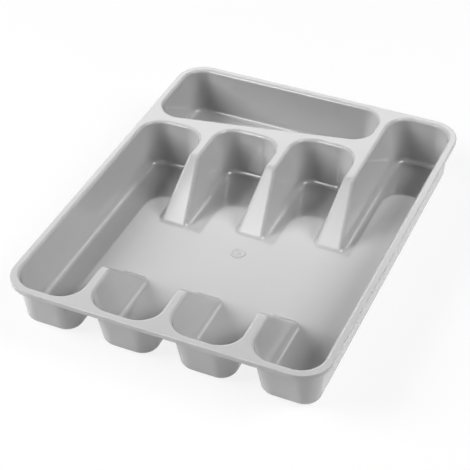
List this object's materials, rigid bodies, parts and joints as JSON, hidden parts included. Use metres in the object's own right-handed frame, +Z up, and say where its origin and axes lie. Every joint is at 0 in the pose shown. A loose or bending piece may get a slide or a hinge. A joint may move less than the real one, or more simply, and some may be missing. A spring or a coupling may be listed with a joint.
{
  "type": "cutlery tray",
  "caption": "Rectangular moulded cutlery tray for a drawer: long round-ended bays side by side, a slanted cross compartment at the back, and hollow ramped dividers under a flat rim.",
  "frame": {"origin": "middle of the bounding box at the underside", "axes": "+X to the right, towards the longest bay; +Y to the back, towards the cross compartment; +Z up"},
  "size_m": [0.3, 0.387, 0.0505],
  "materials": {
    "tray_plastic": "smooth gloss"
  },
  "bodies": {
    "root": {"front_land": "tray_plastic", "left_rim": "tray_plastic", "right_rim": "tray_plastic", "rear_land": "tray_plastic", "cross_bay_rim": "tray_plastic", "long_bay_rim": "tray_plastic", "rim_skirt": "tray_plastic", "floor_panel": "tray_plastic", "left_wall": "tray_plastic", "right_wall": "tray_plastic", "front_cup_1": "tray_plastic", "front_cup_2": "tray_plastic", "front_cup_3": "tray_plastic", "front_cup_4": "tray_plastic", "front_divider_1": "tray_plastic", "front_divider_2": "tray_plastic", "front_divider_3": "tray_plastic", "rear_divider_1": "tray_plastic", "rear_divider_2": "tray_plastic", "rear_divider_3": "tray_plastic", "bay_end_1": "tray_plastic", "bay_end_2": "tray_plastic", "bay_end_3": "tray_plastic", "bay_end_4": "tray_plastic", "cross_bay_left": "tray_plastic", "cross_bay_right": "tray_plastic", "cross_bay_front": "tray_plastic", "cross_bay_back": "tray_plastic", "cross_bay_floor": "tray_plastic"}
  },
  "joints": []
}
